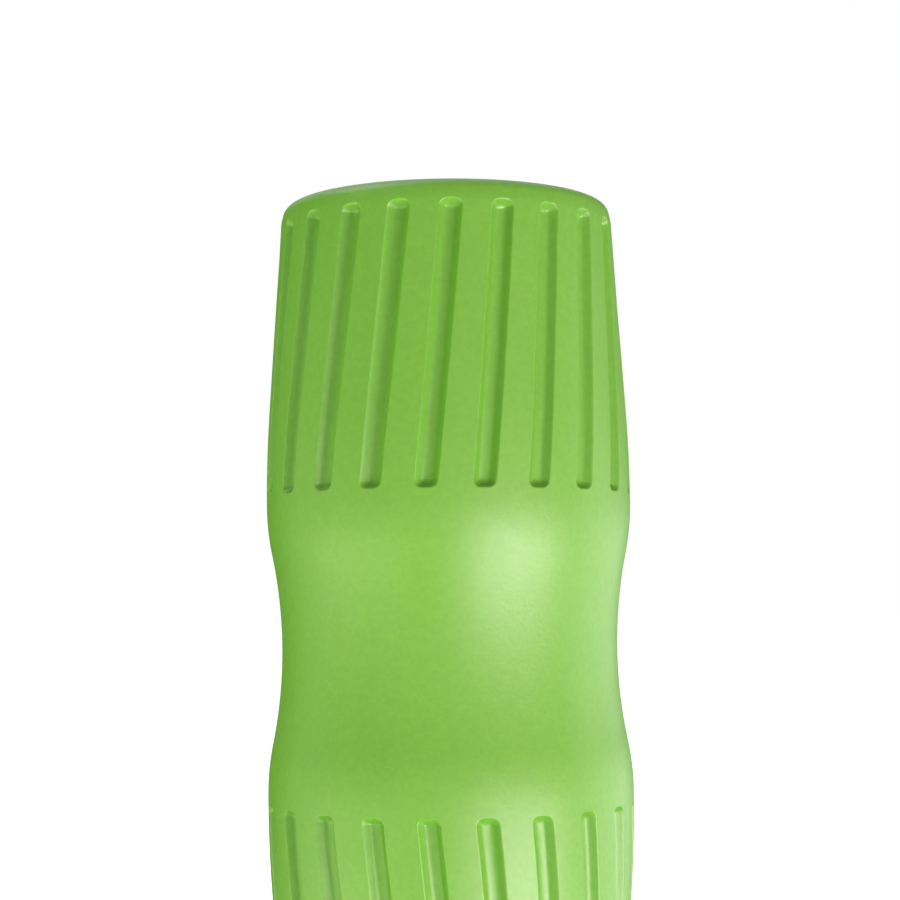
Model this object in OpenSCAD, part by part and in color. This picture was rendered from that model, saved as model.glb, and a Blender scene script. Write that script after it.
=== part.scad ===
// Hand-held driver for thin rod posts.
// A heavy steel tube with a blind bore carries a soft, waisted, fluted grip.
// The origin is the centre of the mouth face, and +Z runs up the driver to its closed top.

/* [Grip outline] */
// Length of the grip from its lower face to its closed top
grip_len = 161; // [158:0.5:170]
// Diameter at the narrow waist, halfway up the grip
waist_d = 60.7; // [60:0.1:62]
// Diameter at the two bulges
bulge_d = 66; // [65:0.5:68]
// Height of a bulge above or below the waist
bulge_dz = 26; // [24:0.5:28]
// Radius of the hollow arc through the waist
waist_arc_r = 84; // [80:1:92]
// Radius of the arc from a bulge to the taper
bulge_arc_r = 250; // [200:5:300]
// Slope of the tapered ends in degrees
taper = 3.8; // [3.5:0.1:4.2]
// Radius of the shoulder where the taper turns in
shoulder_r = 11; // [8:0.5:12]
// Slope in degrees at which the shoulder meets the edge
shoulder_slope = 17; // [12:1:30]
// Radius of the outer edge of each end face
edge_r = 2.5; // [2:0.1:3]
// Thickness of the closed top over the shock pad
cap_t = 8; // [7:0.5:9]
// Height of the lip under the liner
lip_h = 4; // [3:0.5:5]

/* [Flutes] */
// Number of flutes round each end of the grip
flute_count = 21; // [18:1:24]
// Width of a flute
flute_w = 4.1; // [3.5:0.1:4.5]
// Depth of a flute
flute_depth = 1.3; // [1:0.1:1.5]
// Distance from the waist to a flute's near end
flute_near = 27.5; // [27:0.1:30]
// Distance from the waist to a flute's far end
flute_far = 76.8; // [72:0.1:76.8]
// Slant of a flute against the driver's axis in degrees
flute_slant = 5.45; // [4:0.05:6.5]
// Turn of the first flute, at half its length, from the front in degrees
flute_turn = -2.3; // [-9:0.1:9]

/* [Steel tube] */
// Length of the nose below the grip
nose_len = 36; // [34:1:44]
// Outside diameter of the tube
tube_d = 48.3; // [48:0.1:48.6]
// Inside diameter of the tube
tube_bore_d = 24; // [23.6:0.1:25]
// Chamfer on the tube's mouth
tube_chamfer = 0.8; // [0.5:0.1:1.5]

/* [Head and anvil] */
// Diameter of the head plug's flange
flange_d = 44; // [42:0.5:45]
// Thickness of the head plug's flange
flange_t = 6; // [5:0.5:8]
// Length of the head plug inside the tube
spigot_len = 38; // [34:1:42]
// Leg of the weld bead
weld_leg = 2.1; // [1.5:0.1:2.1]
// Thickness of the anvil's striking disc
anvil_t = 16; // [12:1:20]
// Diameter of the anvil's shank
shank_d = 12; // [10:0.5:13]
// Length of the anvil's shank
shank_len = 22; // [20:1:26]
// Diameter of the slotted pin through the head
pin_d = 6; // [5:0.5:6]
// Length of the slotted pin
pin_len = 46; // [44:0.5:47]
// Thickness of the shock pad
pad_t = 6; // [5:0.5:8]

/* [Grip fixings] */
// Wall of the liner that the grip is moulded on
liner_t = 2.1; // [1.8:0.1:2.3]
// Clearance between the tube and what slides over it
slip = 0.15; // [0.1:0.01:0.2]
// Width of a key
key_w = 5; // [4:0.5:6]
// Length of a key
key_len = 30; // [24:1:36]
// Depth of a key in the tube
key_depth = 2.5; // [2:0.1:3]
// Cord diameter of the seal ring
seal_cord_d = 1.8; // [1.6:0.1:2]
// Thickness of the rubber buffer ring
buffer_t = 4; // [3:0.5:5]
// Thickness of the stop washer
washer_t = 3; // [2:0.5:3.5]
// Thickness of the snap ring
clip_t = 1.75; // [1.5:0.05:2]
// Depth of the snap ring's groove
clip_groove = 1.4; // [1.2:0.1:1.6]

/* [Nose and bushes] */
// Outside diameter of the nose collar
collar_d = 58; // [56:0.5:60]
// Height of the nose collar
collar_h = 18; // [16:0.5:20]
// Diameter of the guide bore in both bushes
guide_d = 17; // [16:0.5:18]
// Length of the upper bush
upper_bush_len = 25; // [20:1:30]
// Length of the lower bush inside the tube, above its flange
lower_bush_len = 34; // [28:1:40]
// Diameter of the lower bush's flange
bush_flange_d = 32; // [30:0.5:34]
// Thickness of the lower bush's flange
bush_flange_t = 3.5; // [3:0.5:5]
// Depth of the flange inside the mouth
bush_recess = 0.5; // [0.5:0.1:1]
// Depth of the funnel at the mouth of the lower bush
funnel = 2.5; // [2:0.1:3]
// Diameter of the set screws
screw_d = 6; // [5:0.5:6]
// Height of the set screws above the mouth face
screw_z = 9.5; // [9:0.5:11]
// Number of set screws
screw_count = 3; // [3:1:4]

/* [Hidden] */
$fn = 96;

// colours of the materials
green = [0.55, 0.80, 0.27];
steel = [0.62, 0.63, 0.65];
zinc = [0.75, 0.76, 0.78];
dark_steel = [0.33, 0.34, 0.36];
black_rubber = [0.12, 0.12, 0.13];
nylon = [0.90, 0.88, 0.80];
grey_plastic = [0.28, 0.30, 0.31];

// radii
tube_r = tube_d / 2;
bore_r = tube_bore_d / 2;
guide_r = guide_d / 2;
slide_r = tube_r + slip;
liner_r = slide_r + liner_t;
screw_tip_r = bore_r - 1.2;

// clearance of a close fit, and how far a cutter runs past a face
fit = 0.05;
past = 1;

// heights, from the mouth up
grip_z = nose_len;
waist_z = grip_z + grip_len / 2;
top_z = grip_z + grip_len;
pad_z = top_z - cap_t - pad_t;
tube_len = pad_z - flange_t;
spigot_z = tube_len - spigot_len;
anvil_z = spigot_z - anvil_t;
pin_z = spigot_z + shank_len / 2 + 1;
upper_bush_z = anvil_z - upper_bush_len;
liner_z = grip_z + lip_h;
buffer_z = grip_z - buffer_t;
washer_z = buffer_z - washer_t;
clip_z = washer_z - clip_t;
seal_z = liner_z + 6;
key_z = waist_z;

// grip outline, for the half above the waist, with the waist plane at height 0
waist_r = waist_d / 2;
bulge_r = bulge_d / 2;
half_len = grip_len / 2;
waist_turn = 2 * atan((bulge_r - waist_r) / bulge_dz);
hip_arc_r = bulge_dz / sin(waist_turn) - waist_arc_r;
taper_r = bulge_r - bulge_arc_r * (1 - cos(taper));
taper_dz = bulge_dz + bulge_arc_r * sin(taper);
edge_dz = half_len - edge_r;
shoulder_dz = edge_dz + (edge_r - shoulder_r) * sin(shoulder_slope);
taper_end_dz = shoulder_dz + shoulder_r * sin(taper);
taper_end_r = taper_r - (taper_end_dz - taper_dz) * tan(taper);
shoulder_c_r = taper_end_r - shoulder_r * cos(taper);
edge_c_r = shoulder_c_r + (shoulder_r - edge_r) * cos(shoulder_slope);

// points that carry an outline on along an arc, in the radius and height plane, without its first point
function arc(c, r, from, to, steps) =
    [for (i = [1:steps]) let (a = from + (to - from) * i / steps)
        [c[0] + r * cos(a), c[1] + r * sin(a)]];

function half_outline() = concat(
    [[waist_r, 0]],
    arc([waist_r + waist_arc_r, 0], waist_arc_r, 180, 180 - waist_turn, 4),
    arc([bulge_r - hip_arc_r, bulge_dz], hip_arc_r, -waist_turn, 0, 4),
    arc([bulge_r - bulge_arc_r, bulge_dz], bulge_arc_r, 0, taper, 2),
    [[taper_end_r, taper_end_dz]],
    arc([shoulder_c_r, shoulder_dz], shoulder_r, taper, shoulder_slope, 4),
    arc([edge_c_r, edge_dz], edge_r, shoulder_slope, 90, 5),
    [[0, half_len]]);

// the same points below the waist, from the lower face up, without the waist point itself
function flip(points) = [for (i = [len(points) - 1:-1:1]) [points[i][0], -points[i][1]]];

module grip_section() {
    polygon(concat(flip(half_outline()), half_outline()));
}

// flutes, from their middles
flute_mid = (flute_near + flute_far) / 2;
flute_mid_r = taper_r - (flute_mid - taper_dz) * tan(taper);
flute_run = (flute_far - flute_near - flute_w) / (cos(flute_slant) * cos(taper));

// ribs of the liner: heights about the waist, height and reach
rib_dz = [-18, -6, 6, 18];
rib_h = 2.5;
rib_out = 1;

// ---- grip -------------------------------------------------------------

// round-ended cutter for one flute, leaned to the taper and slanted
module flute_cutter() {
    translate([flute_mid_r, 0, flute_mid])
        rotate([0, -taper, 0])
            rotate([-flute_slant, 0, 0])
                translate([-flute_depth, 0, 0])
                    rotate([0, 90, 0])
                        linear_extrude(flute_depth + past) {
                            square([flute_run, flute_w], center = true);
                            for (end = [-1, 1]) translate([end * flute_run / 2, 0]) circle(d = flute_w);
                        }
}

module flutes() {
    for (i = [0:flute_count - 1])
        rotate([0, 0, -90 + flute_turn + i * 360 / flute_count]) flute_cutter();
}

module grip_cover() {
    color(green)
    translate([0, 0, waist_z]) difference() {
        rotate_extrude() grip_section();
        // cavity for the liner, the head and the shock pad
        translate([0, 0, liner_z - waist_z]) cylinder(r = liner_r, h = top_z - cap_t - liner_z);
        // sliding hole in the lip
        translate([0, 0, -half_len - past]) cylinder(r = slide_r, h = lip_h + 2 * past);
        liner_ribs();
        flutes();
        mirror([0, 0, 1]) flutes();
    }
}

// ribs that lock the moulded grip to its liner, about the waist plane
module liner_ribs() {
    for (dz = rib_dz) translate([0, 0, dz - rib_h / 2]) cylinder(r = liner_r + rib_out, h = rib_h);
}

module grip_liner() {
    color(grey_plastic)
    difference() {
        union() {
            translate([0, 0, liner_z]) cylinder(r = liner_r, h = pad_z - liner_z);
            translate([0, 0, waist_z]) liner_ribs();
        }
        translate([0, 0, liner_z - past]) cylinder(r = slide_r, h = pad_z - liner_z + 2 * past);
        key_shapes(fit);
    }
}

// two keys with round ends on opposite sides, grown by a margin
module key_shapes(grow) {
    for (side = [0, 180])
        rotate([0, 0, side])
            translate([tube_r - key_depth, 0, key_z])
                rotate([0, 90, 0])
                    linear_extrude(key_depth + slip + liner_t) {
                        square([key_len - key_w, key_w + 2 * grow], center = true);
                        for (end = [-1, 1])
                            translate([end * (key_len - key_w) / 2, 0]) circle(d = key_w + 2 * grow);
                    }
}

module grip_keys() {
    color(dark_steel)
    intersection() {
        key_shapes(0);
        translate([0, 0, key_z - key_len]) cylinder(r = liner_r - 0.3, h = 2 * key_len);
    }
}

module seal_ring() {
    color(black_rubber)
    translate([0, 0, seal_z])
        rotate_extrude() translate([slide_r - seal_cord_d / 2, 0]) circle(d = seal_cord_d, $fn = 32);
}

module buffer_ring() {
    color(black_rubber)
    translate([0, 0, buffer_z])
        difference() {
            cylinder(r = edge_c_r - 0.4, h = buffer_t);
            translate([0, 0, -past]) cylinder(r = slide_r, h = buffer_t + 2 * past);
        }
}

module stop_washer() {
    color(zinc)
    translate([0, 0, washer_z])
        rotate_extrude()
            polygon([[slide_r, 0], [edge_c_r - 0.4, 0], [edge_c_r, 0.4], [edge_c_r, washer_t - 0.4],
                     [edge_c_r - 0.4, washer_t], [slide_r, washer_t]]);
}

// open ring with two eared ends, for ring pliers
module snap_ring() {
    clip_in_r = tube_r - clip_groove + fit;
    clip_w = 3.2;
    clip_gap = 9;
    lug_r = 2.6;
    lug_hole_d = 2.5;
    lug_c_r = clip_in_r + lug_r + 0.9;
    lug_turn = asin((clip_gap / 2 + lug_r) / lug_c_r);
    color(dark_steel)
    translate([0, 0, clip_z + fit / 2]) linear_extrude(clip_t - fit)
        difference() {
            union() {
                difference() {
                    circle(r = clip_in_r + clip_w);
                    translate([-clip_gap / 2, 0]) square([clip_gap, tube_d]);
                }
                for (side = [-1, 1]) rotate(90 + side * lug_turn) translate([lug_c_r, 0]) circle(r = lug_r);
            }
            circle(r = clip_in_r);
            for (side = [-1, 1])
                rotate(90 + side * lug_turn) translate([lug_c_r + 0.3, 0]) circle(d = lug_hole_d);
        }
}

// ---- steel tube and head ----------------------------------------------

module driver_tube() {
    color(steel)
    difference() {
        rotate_extrude()
            polygon([[bore_r, 0], [tube_r - tube_chamfer, 0], [tube_r, tube_chamfer],
                     [tube_r, tube_len], [bore_r, tube_len]]);
        // seat for the lower bush's flange
        translate([0, 0, -past])
            cylinder(r = bush_flange_d / 2 + fit, h = bush_recess + bush_flange_t + past);
        ring_groove(clip_z - fit, clip_t + 2 * fit, clip_groove);
        ring_groove(seal_z - seal_cord_d * 0.6, seal_cord_d * 1.2, seal_cord_d - slip + fit);
        key_shapes(fit);
        head_pin_hole();
        screw_holes();
    }
}

// groove round the outside of the tube
module ring_groove(z, h, depth) {
    translate([0, 0, z]) difference() {
        cylinder(r = tube_r + past, h = h);
        translate([0, 0, -past]) cylinder(r = tube_r - depth, h = h + 2 * past);
    }
}

module head_pin_hole() {
    translate([-tube_d, 0, pin_z]) rotate([0, 90, 0]) cylinder(d = pin_d + 2 * fit, h = 2 * tube_d);
}

module head_plug() {
    bevel = 1;
    color(steel)
    difference() {
        rotate_extrude()
            polygon([[0, spigot_z], [bore_r - bevel, spigot_z], [bore_r - fit, spigot_z + bevel],
                     [bore_r - fit, tube_len], [flange_d / 2, tube_len], [flange_d / 2, pad_z - bevel],
                     [flange_d / 2 - bevel, pad_z], [0, pad_z]]);
        translate([0, 0, spigot_z - past]) cylinder(d = shank_d + 2 * fit, h = shank_len + 1 + past);
        head_pin_hole();
    }
}

module head_weld() {
    color(dark_steel)
    translate([0, 0, tube_len])
        rotate_extrude()
            translate([flange_d / 2, 0])
                polygon([[0, 0], [weld_leg, 0], [weld_leg * 0.6, weld_leg * 0.6], [0, weld_leg]]);
}

module strike_anvil() {
    bevel = 1.2;
    disc_r = bore_r - 0.2;
    color(dark_steel)
    difference() {
        rotate_extrude()
            polygon([[0, anvil_z], [disc_r - bevel, anvil_z], [disc_r, anvil_z + bevel], [disc_r, spigot_z],
                     [shank_d / 2, spigot_z], [shank_d / 2, spigot_z + shank_len - bevel],
                     [shank_d / 2 - bevel, spigot_z + shank_len], [0, spigot_z + shank_len]]);
        head_pin_hole();
    }
}

// slotted spring pin
module anvil_pin() {
    wall = 1.2;
    slot = 1;
    color(zinc)
    translate([-pin_len / 2, 0, pin_z]) rotate([0, 90, 0])
        linear_extrude(pin_len) difference() {
            circle(d = pin_d);
            circle(d = pin_d - 2 * wall);
            translate([0, -slot / 2]) square([pin_d, slot]);
        }
}

// rubber disc with round channels that let it squash
module shock_pad() {
    pad_r = liner_r - 0.2;
    channel_w = 3;
    channel_d = 2;
    color(black_rubber)
    translate([0, 0, pad_z]) difference() {
        cylinder(r = pad_r, h = pad_t);
        for (r = [8, 16]) translate([0, 0, pad_t - channel_d]) difference() {
            cylinder(r = r + channel_w, h = channel_d + past);
            translate([0, 0, -past]) cylinder(r = r, h = channel_d + 3 * past);
        }
    }
}

// ---- nose and bushes --------------------------------------------------

// positions of the set screws, with X pointing out along each screw
module at_screws() {
    for (i = [0:screw_count - 1])
        rotate([0, 0, -90 + i * 360 / screw_count])
            translate([0, 0, screw_z])
                rotate([0, 90, 0]) children();
}

module screw_holes() {
    at_screws() translate([0, 0, bore_r - 0.5]) cylinder(d = screw_d + 2 * fit, h = collar_d);
}

module bush_screws() {
    socket_d = 3.4;
    socket_len = 3.5;
    screw_len = collar_d / 2 - 1.2 - screw_tip_r;
    color(dark_steel)
    at_screws() translate([0, 0, screw_tip_r]) difference() {
        rotate_extrude()
            polygon([[0, 0], [screw_d / 2 - 1.2, 0], [screw_d / 2, 1.2], [screw_d / 2, screw_len - 0.5],
                     [screw_d / 2 - 0.5, screw_len], [0, screw_len]]);
        translate([0, 0, screw_len - socket_len]) cylinder(d = socket_d, h = socket_len + past, $fn = 6);
    }
}

module nose_collar() {
    bevel = 2;
    collar_r = collar_d / 2;
    color(zinc)
    difference() {
        rotate_extrude()
            polygon([[tube_r + fit, 0], [collar_r - bevel, 0], [collar_r, bevel],
                     [collar_r, collar_h - bevel], [collar_r - bevel, collar_h], [tube_r + fit, collar_h]]);
        screw_holes();
    }
}

module upper_bush() {
    color(nylon)
    translate([0, 0, upper_bush_z])
        rotate_extrude()
            polygon([[guide_r, 0], [bore_r - fit, 0],
                     [bore_r - fit, upper_bush_len], [guide_r, upper_bush_len]]);
}

module lower_bush() {
    z0 = bush_recess;
    step_z = z0 + bush_flange_t;
    color(nylon)
    difference() {
        rotate_extrude()
            polygon([[guide_r + funnel, z0], [bush_flange_d / 2, z0], [bush_flange_d / 2, step_z],
                     [bore_r - fit, step_z], [bore_r - fit, step_z + lower_bush_len],
                     [guide_r, step_z + lower_bush_len], [guide_r, z0 + funnel]]);
        // seats for the tips of the set screws
        at_screws() translate([0, 0, screw_tip_r - fit]) cylinder(d = screw_d + 2 * fit, h = bore_r);
    }
}

grip_cover();
grip_liner();
driver_tube();
head_plug();
head_weld();
strike_anvil();
anvil_pin();
shock_pad();
grip_keys();
seal_ring();
buffer_ring();
stop_washer();
snap_ring();
nose_collar();
upper_bush();
lower_bush();
bush_screws();
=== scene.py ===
import math

import bpy
import numpy as np
from mathutils import Euler, Matrix, Vector


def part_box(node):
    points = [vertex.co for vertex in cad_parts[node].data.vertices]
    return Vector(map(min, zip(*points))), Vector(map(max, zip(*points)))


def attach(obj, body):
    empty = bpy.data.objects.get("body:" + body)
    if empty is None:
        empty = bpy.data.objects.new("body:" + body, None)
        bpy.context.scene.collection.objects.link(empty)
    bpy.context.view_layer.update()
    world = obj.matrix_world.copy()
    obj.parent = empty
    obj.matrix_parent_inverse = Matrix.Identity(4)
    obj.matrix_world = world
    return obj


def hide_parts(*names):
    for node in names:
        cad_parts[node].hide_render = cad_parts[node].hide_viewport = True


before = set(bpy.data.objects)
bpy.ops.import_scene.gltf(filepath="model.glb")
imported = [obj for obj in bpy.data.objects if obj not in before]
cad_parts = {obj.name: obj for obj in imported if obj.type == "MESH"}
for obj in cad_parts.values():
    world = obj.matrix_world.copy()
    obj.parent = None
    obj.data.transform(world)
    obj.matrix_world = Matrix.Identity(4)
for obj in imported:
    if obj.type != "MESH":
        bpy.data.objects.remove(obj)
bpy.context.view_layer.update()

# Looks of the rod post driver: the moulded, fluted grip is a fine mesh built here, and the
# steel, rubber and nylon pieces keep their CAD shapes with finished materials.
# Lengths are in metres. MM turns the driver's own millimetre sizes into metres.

MM = 0.001

# ---- grip outline, as on the CAD part ---------------------------------
# The two halves mirror each other about the waist. Names that end in _DZ are heights above it.

grip_low, grip_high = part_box("grip_cover")
GRIP_BASE = grip_low.z
GRIP_TOP = grip_high.z
WAIST_Z = (GRIP_BASE + GRIP_TOP) / 2
HALF_LEN = (GRIP_TOP - GRIP_BASE) / 2
BULGE_R = (grip_high.x - grip_low.x) / 2
WAIST_R = 30.35 * MM
BULGE_DZ = 26 * MM
WAIST_ARC_R = 84 * MM
BULGE_ARC_R = 250 * MM
TAPER = math.radians(3.8)
SHOULDER_R = 11 * MM
SHOULDER_SLOPE = math.radians(17)
EDGE_R = 2.5 * MM

# where the arcs meet: waist, hip, bulge, taper, shoulder, edge
WAIST_TURN = 2 * math.atan((BULGE_R - WAIST_R) / BULGE_DZ)
HIP_ARC_R = BULGE_DZ / math.sin(WAIST_TURN) - WAIST_ARC_R
WAIST_ARC_DZ = WAIST_ARC_R * math.sin(WAIST_TURN)
TAPER_R = BULGE_R - BULGE_ARC_R * (1 - math.cos(TAPER))
TAPER_DZ = BULGE_DZ + BULGE_ARC_R * math.sin(TAPER)
EDGE_DZ = HALF_LEN - EDGE_R
SHOULDER_DZ = EDGE_DZ + (EDGE_R - SHOULDER_R) * math.sin(SHOULDER_SLOPE)
TAPER_END_DZ = SHOULDER_DZ + SHOULDER_R * math.sin(TAPER)
TAPER_END_R = TAPER_R - (TAPER_END_DZ - TAPER_DZ) * math.tan(TAPER)
SHOULDER_C = TAPER_END_R - SHOULDER_R * math.cos(TAPER)
EDGE_C = SHOULDER_C + (SHOULDER_R - EDGE_R) * math.cos(SHOULDER_SLOPE)

# ---- flutes -----------------------------------------------------------
# NEAR and FAR are a flute's two ends above the waist. TURN is how far the middle of the first
# flute stands round from the front. The eases round a flute's lips, floor and middle line.

FLUTES = 21
FLUTE_HALF_W = 2.05 * MM
FLUTE_DEPTH = 1.7 * MM
FLUTE_WALL_SLOPE = math.tan(math.radians(62))
FLUTE_LIP_EASE = 0.12 * MM
FLUTE_FLOOR_EASE = 0.8 * MM
FLUTE_MIDDLE_EASE = 0.35 * MM
FLUTE_CORNER = 1.35 * MM
FLUTE_NEAR = 27.5 * MM
FLUTE_FAR = 76.8 * MM
FLUTE_MID = (FLUTE_NEAR + FLUTE_FAR) / 2
FLUTE_HALF_LEN = (FLUTE_FAR - FLUTE_NEAR) / 2
FLUTE_SLANT = math.radians(5.45)
FLUTE_TURN = math.radians(-2.3)
FLUTE_MID_R = TAPER_R - (FLUTE_MID - TAPER_DZ) * math.tan(TAPER)
FLUTE_TWIST = math.tan(FLUTE_SLANT) / FLUTE_MID_R
TWIST_BLEND = 20 * MM

# ---- hole, cavity and top of the grip ---------------------------------

TUBE_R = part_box("driver_tube")[1].x
LIP_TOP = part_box("grip_liner")[0].z
LINER_R = 26.4 * MM
CAVITY_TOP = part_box("shock_pad")[1].z
CEILING_RING_R = 0.4 * LINER_R
HOLE_R = TUBE_R + 0.15 * MM
HOLE_LEAD = 0.5 * MM
FOOT_RING_R = 0.97 * EDGE_C
TOP_RING_SHARES = (0.8, 0.5, 0.25)
GATE_RIM_R = 2.53 * MM
GATE_R = 2.2 * MM
GATE_FLOOR_R = 1.87 * MM
GATE_CENTRE_R = 0.66 * MM
GATE_FLOOR_Z = GRIP_TOP - 0.25 * MM

# ---- mesh steps -------------------------------------------------------
# Rows are fine from END_LEAD before a flute's end to END_REACH into the flute, and columns
# are fine over its walls, from FLOOR_HALF_W either side of its middle to LIP_REACH past a lip.

COARSE_ROW = 1.5 * MM
FINE_ROW = 0.13 * MM
END_LEAD = 0.5 * MM
END_REACH = 1.6 * MM
SHOULDER_STEP = math.radians(0.7)
EDGE_ROWS = 13
LIP_REACH = 0.4 * MM
FLOOR_HALF_W = 0.5 * MM
FLOOR_COLUMN = 0.25 * MM
WALL_COLUMN = 0.12 * MM
LAND_COLUMN = 0.7 * MM
ROUNDING = 1e-9


def radius_at(dz):
    """Outside radius of the plain grip at a height from the waist, up to the shoulder."""
    h = abs(dz)
    if h <= WAIST_ARC_DZ:
        return WAIST_R + WAIST_ARC_R - math.sqrt(WAIST_ARC_R**2 - h**2)
    if h <= BULGE_DZ:
        return BULGE_R - HIP_ARC_R + math.sqrt(HIP_ARC_R**2 - (BULGE_DZ - h) ** 2)
    if h <= TAPER_DZ:
        return BULGE_R - BULGE_ARC_R + math.sqrt(BULGE_ARC_R**2 - (h - BULGE_DZ) ** 2)
    return TAPER_R - (h - TAPER_DZ) * math.tan(TAPER)


def spaced(start, stop, step):
    """Evenly spaced values from start up to but not including stop, at most step apart."""
    count = max(1, math.ceil((stop - start) / step - ROUNDING))
    return list(np.linspace(start, stop, count, endpoint=False))


def half_rows():
    """The upper half of the outline as (radius, height above the waist), waist first."""
    heights = spaced(0, FLUTE_NEAR - END_LEAD, COARSE_ROW)
    heights += spaced(FLUTE_NEAR - END_LEAD, FLUTE_NEAR + END_REACH, FINE_ROW)
    heights += spaced(FLUTE_NEAR + END_REACH, FLUTE_FAR - END_REACH, COARSE_ROW)
    heights += spaced(FLUTE_FAR - END_REACH, TAPER_END_DZ, FINE_ROW)
    rows = [(radius_at(h), h) for h in heights]
    for a in spaced(TAPER, SHOULDER_SLOPE, SHOULDER_STEP):
        r = SHOULDER_C + SHOULDER_R * math.cos(a)
        rows.append((r, SHOULDER_DZ + SHOULDER_R * math.sin(a)))
    for a in np.linspace(SHOULDER_SLOPE, math.pi / 2, EDGE_ROWS):
        rows.append((EDGE_C + EDGE_R * math.cos(a), EDGE_DZ + EDGE_R * math.sin(a)))
    return rows


def column_offsets():
    """Columns across one flute and the land after it, in metres from the flute's middle."""
    pitch = math.tau * FLUTE_MID_R / FLUTES
    outer = FLUTE_HALF_W + LIP_REACH
    floor = spaced(-FLOOR_HALF_W, FLOOR_HALF_W, FLOOR_COLUMN)
    wall_up = spaced(FLOOR_HALF_W, outer, WALL_COLUMN)
    land = spaced(outer, pitch - outer, LAND_COLUMN)
    wall_down = spaced(pitch - outer, pitch - FLOOR_HALF_W, WALL_COLUMN)
    return floor + wall_up + land + wall_down


def column_angles():
    """The angle of every column round the grip, and its angle from the nearest flute's line."""
    pitch = math.tau / FLUTES
    local = np.array(column_offsets()) / FLUTE_MID_R
    angle = np.concatenate([local + i * pitch for i in range(FLUTES)])
    nearest = (angle + pitch / 2) % pitch - pitch / 2
    return angle, nearest


def flute_turn(dz):
    """How far a flute's line has turned at a height, the same above and below the waist."""
    h = abs(dz)
    if h <= TWIST_BLEND:
        h = (h * h / TWIST_BLEND + TWIST_BLEND) / 2
    return FLUTE_TURN + FLUTE_TWIST * (h - FLUTE_MID)


def eased_max(value, ease):
    """The larger of a value and nothing, with a rounded turn instead of a corner."""
    return (value + np.sqrt(value**2 + ease**2)) / 2


def flute_depth(across, dz):
    """Depth of the flute at a distance across from its line and at a height."""
    past_side = np.hypot(across, FLUTE_MIDDLE_EASE) - (FLUTE_HALF_W - FLUTE_CORNER)
    past_end = abs(abs(dz) - FLUTE_MID) - (FLUTE_HALF_LEN - FLUTE_CORNER)
    outside = np.hypot(np.maximum(past_side, 0), max(past_end, 0))
    inside = np.minimum(np.maximum(past_side, past_end), 0)
    reach = FLUTE_CORNER - outside - inside
    wall = FLUTE_WALL_SLOPE * eased_max(reach, FLUTE_LIP_EASE)
    depth = FLUTE_DEPTH - eased_max(FLUTE_DEPTH - wall, FLUTE_FLOOR_EASE)
    return np.where(reach > -LIP_REACH, np.maximum(depth, 0), 0)


def new_object(name, verts, faces):
    """A smooth-shaded mesh object in the scene."""
    mesh = bpy.data.meshes.new(name)
    mesh.from_pydata([tuple(v) for v in verts], [], faces)
    mesh.validate()
    mesh.polygons.foreach_set("use_smooth", [True] * len(mesh.polygons))
    mesh.update()
    obj = bpy.data.objects.new(name, mesh)
    bpy.context.scene.collection.objects.link(obj)
    return obj


def ring_of(radius, angle, z):
    """One ring of vertices round the driver's axis. Angle 0 is the front."""
    height = np.broadcast_to(z, angle.shape)
    return np.column_stack([radius * np.sin(angle), -radius * np.cos(angle), height])


def outside_rings(angle, nearest):
    """The grip's outside from the lower face to the closed top, with the flutes sunk in."""
    upper = half_rows()
    rows = [(r, -h) for r, h in reversed(upper[1:])] + upper
    rings = []
    for n, (r, dz) in enumerate(rows):
        before = rows[max(n - 1, 0)]
        after = rows[min(n + 1, len(rows) - 1)]
        along = Vector((after[0] - before[0], after[1] - before[1])).normalized()
        depth = flute_depth(nearest * r * math.cos(FLUTE_SLANT), dz)
        z = WAIST_Z + dz + depth * along.x
        rings.append(ring_of(r - depth * along.y, angle + flute_turn(dz), z))
    return rings


def plain_rings(outline, angle, dz):
    """Rings with no flutes at each (radius, z), in line with the columns at a height."""
    return [ring_of(r, angle + flute_turn(dz), z) for r, z in outline]


def top_outline():
    """The closed top, inwards to a small sunk gate mark."""
    outline = [(EDGE_C * share, GRIP_TOP) for share in TOP_RING_SHARES]
    outline += [(GATE_RIM_R, GRIP_TOP), (GATE_R, GRIP_TOP)]
    outline += [(GATE_FLOOR_R, GATE_FLOOR_Z), (GATE_CENTRE_R, GATE_FLOOR_Z)]
    return outline


def under_outline():
    """From the cavity's ceiling down its wall and the hole to the lower face."""
    return [
        (CEILING_RING_R, CAVITY_TOP),
        (LINER_R, CAVITY_TOP),
        (LINER_R, LIP_TOP),
        (HOLE_R, LIP_TOP),
        (HOLE_R, GRIP_BASE + HOLE_LEAD),
        (HOLE_R + HOLE_LEAD, GRIP_BASE),
        (FOOT_RING_R, GRIP_BASE),
    ]


def ring_faces(rings, columns):
    """Quads that join each ring of vertices to the next, round a closed loop of columns."""
    faces = []
    for i in range(rings - 1):
        low = i * columns
        high = low + columns
        for j in range(columns):
            k = (j + 1) % columns
            faces.append((low + j, low + k, high + k, high + j))
    return faces


def build_grip():
    """The whole grip as one closed mesh: cavity, lower face, fluted outside and closed top."""
    angle, nearest = column_angles()
    columns = len(angle)
    rings = plain_rings(under_outline(), angle, -HALF_LEN)
    rings += outside_rings(angle, nearest)
    rings += plain_rings(top_outline(), angle, HALF_LEN)
    verts = np.vstack([*rings, (0, 0, CAVITY_TOP), (0, 0, GATE_FLOOR_Z)])
    faces = ring_faces(len(rings), columns)
    # fans that close the two ends of the stack of rings
    last = (len(rings) - 1) * columns
    ceiling = len(rings) * columns
    gate = ceiling + 1
    for j in range(columns):
        k = (j + 1) % columns
        faces.append((ceiling, k, j))
        faces.append((gate, last + j, last + k))
    return new_object("grip", verts, faces)


# ---- materials --------------------------------------------------------

MIX_FACTOR = 0
MIX_A = 6
MIX_B = 7
MIX_RESULT = 2


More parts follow.
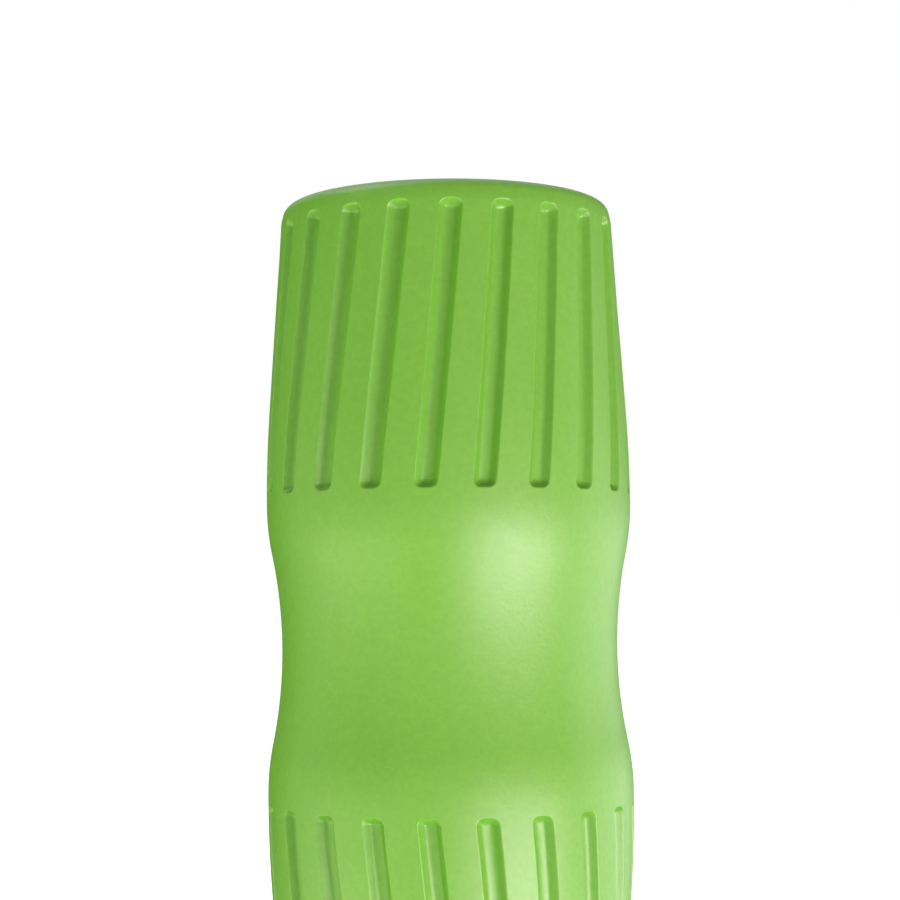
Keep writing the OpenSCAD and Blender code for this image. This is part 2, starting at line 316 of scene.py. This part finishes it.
class Nodes:
    """A short way to add and join the nodes of one material.

    Noise and cell scales count features per metre. Ramp and span stops are positions on
    the noise's own 0 to 1.
    """

    def __init__(self, name):
        self.material = bpy.data.materials.new(name)
        self.material.use_nodes = True
        self.tree = self.material.node_tree
        self.shader = self.tree.nodes["Principled BSDF"]
        self.coords = self.add("ShaderNodeTexCoord").outputs["Object"]

    def add(self, kind, **settings):
        node = self.tree.nodes.new(kind)
        for key, value in settings.items():
            setattr(node, key, value)
        return node

    def join(self, source, target):
        self.tree.links.new(source, target)

    def stretched(self, scale):
        """Object coordinates, scaled unevenly."""
        node = self.add("ShaderNodeMapping")
        node.inputs["Scale"].default_value = scale
        self.join(self.coords, node.inputs["Vector"])
        return node.outputs["Vector"]

    def noise(self, vector, scale, detail=3.0, roughness=0.5, distortion=0.0):
        node = self.add("ShaderNodeTexNoise")
        node.inputs["Scale"].default_value = scale
        node.inputs["Detail"].default_value = detail
        node.inputs["Roughness"].default_value = roughness
        node.inputs["Distortion"].default_value = distortion
        self.join(vector, node.inputs["Vector"])
        return node.outputs["Fac"]

    def cells(self, vector, scale, feature="F1"):
        node = self.add("ShaderNodeTexVoronoi", feature=feature)
        node.inputs["Scale"].default_value = scale
        self.join(vector, node.inputs["Vector"])
        return node.outputs["Distance"]

    def ramp(self, value, *stops):
        """A colour ramp. Each stop is (position, colour)."""
        node = self.add("ShaderNodeValToRGB")
        elements = node.color_ramp.elements
        while len(elements) < len(stops):
            elements.new(1.0)
        for element, (position, colour) in zip(elements, stops):
            element.position = position
            element.color = (*colour, 1)
        self.join(value, node.inputs["Fac"])
        return node.outputs["Color"]

    def span(self, value, low, high, from_low=0.3, from_high=0.7):
        """A value mapped to the span from low to high."""
        node = self.add("ShaderNodeMapRange")
        node.inputs["From Min"].default_value = from_low
        node.inputs["From Max"].default_value = from_high
        node.inputs["To Min"].default_value = low
        node.inputs["To Max"].default_value = high
        self.join(value, node.inputs["Value"])
        return node.outputs["Result"]

    def multiply(self, a, b):
        """Two colours multiplied."""
        node = self.add("ShaderNodeMix", data_type="RGBA", blend_type="MULTIPLY")
        node.inputs[MIX_FACTOR].default_value = 1.0
        self.join(a, node.inputs[MIX_A])
        self.join(b, node.inputs[MIX_B])
        return node.outputs[MIX_RESULT]

    def bump(self, *layers):
        """Height layers, each (value, strength, depth in metres), into the shader's normal."""
        normal = None
        for value, strength, depth in layers:
            node = self.add("ShaderNodeBump")
            node.inputs["Strength"].default_value = strength
            node.inputs["Distance"].default_value = depth
            self.join(value, node.inputs["Height"])
            if normal is not None:
                self.join(normal, node.inputs["Normal"])
            normal = node.outputs["Normal"]
        self.join(normal, self.shader.inputs["Normal"])

    def set(self, **values):
        """Values that are the same all over, on the shader's own sockets."""
        for key, value in values.items():
            self.shader.inputs[key.replace("_", " ")].default_value = value

    def use(self, socket, value):
        self.join(value, self.shader.inputs[socket])


def grey(level):
    """A neutral colour."""
    return (level, level, level)


def green_grip():
    """Satin moulded rubber: faint mottling in the green, fine grain and slow wrinkles."""
    m = Nodes("green_grip")
    cloudy = m.noise(m.coords, scale=55, detail=4, roughness=0.55)
    base = m.ramp(
        cloudy,
        (0.30, (0.177, 0.476, 0.041)),
        (0.50, (0.181, 0.480, 0.042)),
        (0.70, (0.185, 0.484, 0.043)),
    )
    fine = m.noise(m.coords, scale=850, detail=3, roughness=0.6)
    worn = m.ramp(fine, (0.35, grey(0.91)), (0.65, grey(0.99)))
    m.use("Base Color", m.multiply(base, worn))
    m.use("Roughness", m.span(m.noise(m.coords, scale=260, detail=5), 0.41, 0.45))
    grain = m.cells(m.coords, scale=1900, feature="SMOOTH_F1")
    long_ways = m.stretched((1, 1, 1.6))
    wrinkle = m.noise(long_ways, scale=380, detail=4, roughness=0.6, distortion=0.6)
    m.bump((grain, 0.25, 0.03 * MM), (wrinkle, 0.30, 0.12 * MM))
    m.set(IOR=1.5, Specular_IOR_Level=0.8)
    return m.material


def turned_steel():
    """Bare steel with fine tool rings and patchy stains."""
    m = Nodes("turned_steel")
    rings = m.noise(m.stretched((18, 18, 900)), scale=3.5, detail=4, roughness=0.7)
    stain = m.noise(m.coords, scale=45, detail=5, roughness=0.6)
    m.use("Base Color", m.ramp(stain, (0.35, (0.27, 0.265, 0.26)), (0.65, (0.40, 0.40, 0.41))))
    m.use("Roughness", m.span(rings, 0.32, 0.50))
    m.bump((rings, 0.35, 0.03 * MM))
    m.set(Metallic=1.0)
    return m.material


def zinc_plate():
    """Zinc-plated steel, cloudy and scuffed round."""
    m = Nodes("zinc_plate")
    stain = m.noise(m.coords, scale=120, detail=6, roughness=0.65)
    scuff = m.noise(m.stretched((60, 60, 420)), scale=6, detail=6, roughness=0.7)
    m.use("Base Color", m.ramp(stain, (0.35, (0.36, 0.37, 0.385)), (0.65, (0.49, 0.50, 0.51))))
    m.use("Roughness", m.span(scuff, 0.34, 0.54))
    m.bump((scuff, 0.25, 0.02 * MM))
    m.set(Metallic=1.0)
    return m.material


def black_steel():
    """Hardened, blackened steel."""
    m = Nodes("black_steel")
    stain = m.noise(m.coords, scale=260, detail=5, roughness=0.6)
    dark = (0.030, 0.031, 0.034)
    light = (0.085, 0.086, 0.090)
    m.use("Base Color", m.ramp(stain, (0.35, dark), (0.70, light)))
    m.use("Roughness", m.span(stain, 0.32, 0.55))
    m.bump((m.noise(m.coords, scale=1400, detail=3), 0.3, 0.02 * MM))
    m.set(Metallic=0.8)
    return m.material


def weld_bead():
    """A heat-tinted weld with rippled solidification lines."""
    m = Nodes("weld_bead")
    heat = m.noise(m.coords, scale=180, detail=4)
    tint = m.ramp(
        heat,
        (0.35, (0.10, 0.08, 0.07)),
        (0.55, (0.17, 0.15, 0.20)),
        (0.70, (0.24, 0.24, 0.25)),
    )
    m.use("Base Color", tint)
    m.use("Roughness", m.span(heat, 0.35, 0.6))
    m.bump((m.cells(m.coords, scale=420), 0.8, 0.25 * MM))
    m.set(Metallic=0.9)
    return m.material


def black_rubber():
    """Matt rubber with a little dust."""
    m = Nodes("black_rubber")
    dust = m.noise(m.coords, scale=160, detail=6, roughness=0.6)
    m.use("Base Color", m.ramp(dust, (0.35, (0.018, 0.018, 0.019)), (0.70, grey(0.050))))
    m.use("Roughness", m.span(dust, 0.55, 0.8))
    m.bump((m.noise(m.coords, scale=1300, detail=4), 0.4, 0.05 * MM))
    return m.material


def white_nylon():
    """Natural nylon, turned to size."""
    m = Nodes("white_nylon")
    shade = m.noise(m.coords, scale=60, detail=4)
    turned = m.noise(m.stretched((10, 10, 1300)), scale=3, detail=3)
    m.use("Base Color", m.ramp(shade, (0.35, (0.62, 0.59, 0.49)), (0.65, (0.72, 0.70, 0.61))))
    m.use("Roughness", m.span(turned, 0.35, 0.55))
    m.bump((turned, 0.3, 0.03 * MM))
    m.set(Subsurface_Weight=0.15, Subsurface_Scale=2 * MM)
    return m.material


def grey_nylon():
    """Filled nylon as moulded, with a fine grain."""
    m = Nodes("grey_nylon")
    shade = m.noise(m.coords, scale=90, detail=5)
    dark = (0.045, 0.048, 0.050)
    light = (0.075, 0.078, 0.082)
    m.use("Base Color", m.ramp(shade, (0.35, dark), (0.65, light)))
    m.use("Roughness", m.span(shade, 0.45, 0.65))
    m.bump((m.cells(m.coords, scale=1500), 0.3, 0.04 * MM))
    return m.material


FINISHES = (
    (turned_steel, ("driver_tube", "head_plug")),
    (zinc_plate, ("nose_collar", "stop_washer", "anvil_pin")),
    (black_steel, ("strike_anvil", "grip_keys", "snap_ring", "bush_screws")),
    (weld_bead, ("head_weld",)),
    (black_rubber, ("shock_pad", "seal_ring", "buffer_ring")),
    (white_nylon, ("upper_bush", "lower_bush")),
    (grey_nylon, ("grip_liner",)),
)


def dress_cad_nodes():
    """Gives each CAD node that shows its finished material."""
    for make_material, nodes in FINISHES:
        material = make_material()
        for node in nodes:
            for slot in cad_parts[node].material_slots:
                slot.material = material


# ---- studio -----------------------------------------------------------

WHITE = (1.0, 1.0, 1.0)

FLOOR_HALF_SIZE = 8.0
FLOOR_Z = -0.1 * MM
FLOOR_GLOW_NEAR = 0.5
FLOOR_GLOW_FAR = 1.0
FLOOR_GLOW_START = 0.08
FLOOR_GLOW_END = 0.42

CAMERA_DISTANCE = 384.8 * MM
CAMERA_RISE = 9.9 * MM
CAMERA_SIDE = 0.3 * MM
CAMERA_TILT = math.radians(2.79)
CAMERA_ROLL = math.radians(-0.53)
CAMERA_SENSOR = 36
CAMERA_LENS = 84.5
CAMERA_SHIFT_Y = 0.0444
CAMERA_CLIP = (0.01, 50)

FRONT_RIGHT = (0.9, -0.4, 0.0)
WORLD_LEAN = (-0.9, 0.1)
WORLD_LIGHT = (0.03, 0.18)

LIGHT_DISTANCE = 0.9
NEAR_LIGHT_DISTANCE = 0.4
KEY_TINT = (0.99, 0.83, 0.88)
LEAFY = (0.95, 1.0, 0.66)

# name, azimuth, elevation, width, height, brightness, colour, distance
SOFT_BOXES = (
    ("key_right", 50, -18, 0.62, 0.22, 14.2, KEY_TINT, LIGHT_DISTANCE),
    ("key_front", 22, -17, 0.38, 0.20, 9.4, KEY_TINT, LIGHT_DISTANCE),
    ("low_right", 40, -40, 0.50, 0.25, 4.6, WHITE, LIGHT_DISTANCE),
    ("low_left", -62, -32, 1.10, 0.75, 2.0, LEAFY, LIGHT_DISTANCE),
    ("front_left", -20, 0, 0.90, 0.50, 0.55, LEAFY, LIGHT_DISTANCE),
    ("left_side", -88, -14, 0.50, 0.50, 0.85, LEAFY, NEAR_LIGHT_DISTANCE),
    ("high_left", -90, 60, 0.50, 0.50, 2.6, WHITE, LIGHT_DISTANCE),
    ("right_side", 100, -5, 0.40, 0.60, 1.9, WHITE, LIGHT_DISTANCE),
    ("right_rim", 128, -8, 0.50, 0.35, 2.1, WHITE, LIGHT_DISTANCE),
    ("overhead", 180, 80, 0.50, 0.50, 0.9, WHITE, LIGHT_DISTANCE),
    ("back_high", -170, 50, 1.00, 0.80, 0.8, WHITE, LIGHT_DISTANCE),
)


def pale_floor():
    """A nearly white floor with a painted glow: it emits light by itself, at half strength near
    the driver and full white away from it.
    """
    m = Nodes("pale_floor")
    patch = m.noise(m.coords, scale=6, detail=3)
    m.use("Base Color", m.ramp(patch, (0.3, grey(0.88)), (0.7, grey(0.90))))
    m.set(Roughness=0.8, Emission_Color=(*WHITE, 1))
    # Painted glow: the floor's own emission, weaker near the driver and rising to full white
    # further away.
    away = m.add("ShaderNodeVectorMath", operation="LENGTH")
    m.join(m.coords, away.inputs[0])
    painted_glow = m.span(
        away.outputs["Value"], FLOOR_GLOW_NEAR, FLOOR_GLOW_FAR, FLOOR_GLOW_START, FLOOR_GLOW_END
    )
    m.use("Emission Strength", painted_glow)
    return m.material


def build_floor():
    """A wide floor. It casts no shadow, so soft boxes below its level still reach the driver."""
    corners = ((-1, -1), (1, -1), (1, 1), (-1, 1))
    verts = [(x * FLOOR_HALF_SIZE, y * FLOOR_HALF_SIZE, FLOOR_Z) for x, y in corners]
    floor = new_object("floor", verts, [(0, 1, 2, 3)])
    floor.data.materials.append(pale_floor())
    floor.visible_shadow = False
    floor.visible_diffuse = False
    floor.visible_glossy = False


def soft_box(name, azimuth, elevation, width, height, brightness, colour, distance):
    """A soft box aimed at the waist. Azimuth 0 is the front and 90 is on its right.

    Brightness is the box's own surface brightness, where 1 shows as white.
    """
    a = math.radians(azimuth)
    e = math.radians(elevation)
    away = Vector((math.sin(a) * math.cos(e), -math.cos(a) * math.cos(e), math.sin(e)))
    data = bpy.data.lights.new(name, "AREA")
    data.shape = "RECTANGLE"
    data.size = width
    data.size_y = height
    data.energy = brightness * math.pi * width * height
    data.color = colour
    lamp = bpy.data.objects.new(name, data)
    lamp.location = Vector((0, 0, WAIST_Z)) + away * distance
    lamp.rotation_mode = "QUATERNION"
    lamp.rotation_quaternion = away.to_track_quat("Z", "Y")
    lamp.visible_camera = False
    bpy.context.scene.collection.objects.link(lamp)


def build_camera():
    """The photograph's view: level with the waist, tipped up a little and rolled slightly."""
    data = bpy.data.cameras.new("camera")
    data.sensor_width = CAMERA_SENSOR
    data.lens = CAMERA_LENS
    data.shift_y = CAMERA_SHIFT_Y
    data.clip_start, data.clip_end = CAMERA_CLIP
    camera = bpy.data.objects.new("camera", data)
    camera.location = (CAMERA_SIDE, -CAMERA_DISTANCE, WAIST_Z + CAMERA_RISE)
    tilt = Euler((math.pi / 2 + CAMERA_TILT, 0, 0)).to_matrix()
    roll = Matrix.Rotation(CAMERA_ROLL, 3, "Z")
    camera.rotation_euler = (tilt @ roll).to_euler()
    bpy.context.scene.collection.objects.link(camera)
    bpy.context.scene.camera = camera


def build_world():
    """White behind everything, and a faint light on the driver that leans to the front right."""
    world = bpy.data.worlds.new("studio")
    world.use_nodes = True
    tree = world.node_tree
    background = tree.nodes["Background"]
    background.inputs["Color"].default_value = (*WHITE, 1)
    seen = tree.nodes.new("ShaderNodeTexCoord")
    lean = tree.nodes.new("ShaderNodeVectorMath")
    lean.operation = "DOT_PRODUCT"
    lean.inputs[1].default_value = FRONT_RIGHT
    fall = tree.nodes.new("ShaderNodeMapRange")
    fall.inputs["From Min"].default_value, fall.inputs["From Max"].default_value = WORLD_LEAN
    fall.inputs["To Min"].default_value, fall.inputs["To Max"].default_value = WORLD_LIGHT
    path = tree.nodes.new("ShaderNodeLightPath")
    level = tree.nodes.new("ShaderNodeMapRange")
    level.inputs["To Max"].default_value = 1.0
    tree.links.new(seen.outputs["Generated"], lean.inputs[0])
    tree.links.new(lean.outputs["Value"], fall.inputs["Value"])
    tree.links.new(fall.outputs["Result"], level.inputs["To Min"])
    tree.links.new(path.outputs["Is Camera Ray"], level.inputs["Value"])
    tree.links.new(level.outputs["Result"], background.inputs["Strength"])
    bpy.context.scene.world = world


def build_studio():
    """Floor, camera, world and soft boxes."""
    build_floor()
    build_camera()
    build_world()
    for box in SOFT_BOXES:
        soft_box(*box)
    bpy.context.scene.view_settings.view_transform = "Standard"


# ---- the driver in its studio -----------------------------------------

grip = build_grip()
grip.data.materials.append(green_grip())
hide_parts("grip_cover")
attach(grip, "root")
dress_cad_nodes()
build_studio()
